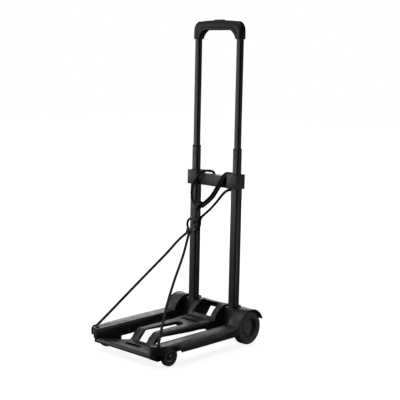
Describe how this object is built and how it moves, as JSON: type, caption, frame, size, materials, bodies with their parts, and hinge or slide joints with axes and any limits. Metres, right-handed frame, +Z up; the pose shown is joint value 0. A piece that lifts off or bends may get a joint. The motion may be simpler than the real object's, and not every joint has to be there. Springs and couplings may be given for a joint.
{
  "type": "folding luggage cart",
  "caption": "Folding luggage cart: hinged black plastic platform on four wheels, telescopic twin-tube mast with grip and release button, and an elastic cord.",
  "frame": {"origin": "on the floor under the middle of the cart's footprint, platform unfolded and mast fully extended", "axes": "+Z up along the mast, +X to the cart's right along the axle, the platform runs towards -Y from the mast"},
  "size_m": [0.314, 0.4378, 0.9746],
  "materials": {
    "tube_paint": "satin black powder coat",
    "deck_plastic": "fine moulded texture",
    "frame_plastic": "satin moulded",
    "grip_plastic": "satin moulded",
    "button_plastic": "satin moulded",
    "wheel_plastic": "satin moulded",
    "tyre_rubber": "matte",
    "steel": "black zinc plated",
    "cord_fabric": "braided sheath",
    "hook_plastic": "satin moulded"
  },
  "bodies": {
    "mast": {"axle": "steel", "bridge": "frame_plastic", "axle_nut_left": "steel", "axle_nut_right": "steel", "foot_left": "frame_plastic", "foot_right": "frame_plastic", "outer_tube_left": "tube_paint", "outer_tube_right": "tube_paint", "outer_guide_left": "frame_plastic", "outer_guide_right": "frame_plastic", "bridge_screw_left": "steel", "bridge_screw_right": "steel", "cord_strand_left": "cord_fabric", "cord_strand_right": "cord_fabric", "cord_loop_left": "cord_fabric", "cord_loop_right": "cord_fabric", "cord_clip": "hook_plastic", "strand_crimp": "hook_plastic", "hook_upper": "hook_plastic", "hook_lower": "hook_plastic"},
    "middle_stage": {"middle_tube_left": "tube_paint", "middle_tube_right": "tube_paint", "middle_ferrule_left": "frame_plastic", "middle_ferrule_right": "frame_plastic"},
    "middle_pin_left": {"middle_lock_pin_left": "steel"},
    "middle_pin_right": {"middle_lock_pin_right": "steel"},
    "upper_stage": {"upper_tube_left": "tube_paint", "upper_tube_right": "tube_paint", "lock_block_left": "frame_plastic", "lock_block_right": "frame_plastic", "snap_spring_left": "steel", "snap_spring_right": "steel", "grip_upper_shell": "grip_plastic", "grip_lower_shell": "grip_plastic", "button_spring": "steel"},
    "snap_left": {"snap_button_left": "button_plastic"},
    "snap_right": {"snap_button_right": "button_plastic"},
    "release": {"release_button": "button_plastic", "release_yoke": "frame_plastic", "push_rod_left": "steel", "push_rod_right": "steel"},
    "platform": {"tongue": "deck_plastic", "crossbar": "deck_plastic", "corner_hook": "hook_plastic", "arm_left": "deck_plastic", "arm_right": "deck_plastic", "front_axle_pin_left": "steel", "front_axle_pin_right": "steel", "crossbar_screw_left": "steel", "crossbar_screw_right": "steel"},
    "rear_wheel_left": {"rear_tyre_left": "tyre_rubber", "rear_rim_left": "wheel_plastic", "rear_hub_cap_left": "wheel_plastic"},
    "rear_wheel_right": {"rear_tyre_right": "tyre_rubber", "rear_rim_right": "wheel_plastic", "rear_hub_cap_right": "wheel_plastic"},
    "front_wheel_left": {"front_tyre_left": "tyre_rubber", "front_rim_left": "wheel_plastic"},
    "front_wheel_right": {"front_tyre_right": "tyre_rubber", "front_rim_right": "wheel_plastic"}
  },
  "joints": [
    {"name": "platform_fold", "type": "hinge", "parent": "mast", "child": "platform", "pos_m": [0, 0.1646, 0.05], "axis": [-1, 0, 0], "range_deg": [0, 88], "deforming": ["cord_strand_left", "cord_strand_right", "cord_loop_left", "cord_loop_right", "cord_clip", "strand_crimp", "hook_upper", "hook_lower"]},
    {"name": "middle_stage_slide", "type": "slide", "parent": "mast", "child": "middle_stage", "axis": [0, 0, -1], "range_m": [0, 0.076], "deforming": ["middle_lock_pin_left", "middle_lock_pin_right"]},
    {"name": "upper_stage_slide", "type": "slide", "parent": "middle_stage", "child": "upper_stage", "axis": [0, 0, -1], "range_m": [0, 0.322], "deforming": ["snap_button_left", "snap_button_right", "snap_spring_left", "snap_spring_right"]},
    {"name": "release_button_press", "type": "slide", "parent": "upper_stage", "child": "release", "axis": [0, 0, -1], "range_m": [0, 0.004], "stiffness_N_per_m": 600, "springref_m": -0.004, "deforming": ["button_spring"]},
    {"name": "snap_button_left_retract", "type": "slide", "parent": "upper_stage", "child": "snap_left", "axis": [0, 1, 0], "range_m": [0, 0.0032]},
    {"name": "snap_button_right_retract", "type": "slide", "parent": "upper_stage", "child": "snap_right", "axis": [0, 1, 0], "range_m": [0, 0.0032]},
    {"name": "middle_pin_left_retract", "type": "slide", "parent": "middle_stage", "child": "middle_pin_left", "axis": [0, 1, 0], "range_m": [0, 0.0032]},
    {"name": "middle_pin_right_retract", "type": "slide", "parent": "middle_stage", "child": "middle_pin_right", "axis": [0, 1, 0], "range_m": [0, 0.0032]},
    {"name": "rear_wheel_left_spin", "type": "hinge", "parent": "mast", "child": "rear_wheel_left", "pos_m": [0, 0.1646, 0.05], "axis": [1, 0, 0], "continuous": true},
    {"name": "rear_wheel_right_spin", "type": "hinge", "parent": "mast", "child": "rear_wheel_right", "pos_m": [0, 0.1646, 0.05], "axis": [1, 0, 0], "continuous": true},
    {"name": "front_wheel_left_spin", "type": "hinge", "parent": "platform", "child": "front_wheel_left", "pos_m": [0, -0.1609, 0.0272], "axis": [1, 0, 0], "continuous": true},
    {"name": "front_wheel_right_spin", "type": "hinge", "parent": "platform", "child": "front_wheel_right", "pos_m": [0, -0.1609, 0.0272], "axis": [1, 0, 0], "continuous": true}
  ],
  "couplings": [
    {"joint": "snap_button_left_retract", "follows": "release_button_press", "ratio": 0.8},
    {"joint": "snap_button_right_retract", "follows": "release_button_press", "ratio": 0.8},
    {"joint": "middle_pin_left_retract", "follows": "release_button_press", "ratio": 0.8},
    {"joint": "middle_pin_right_retract", "follows": "release_button_press", "ratio": 0.8}
  ]
}
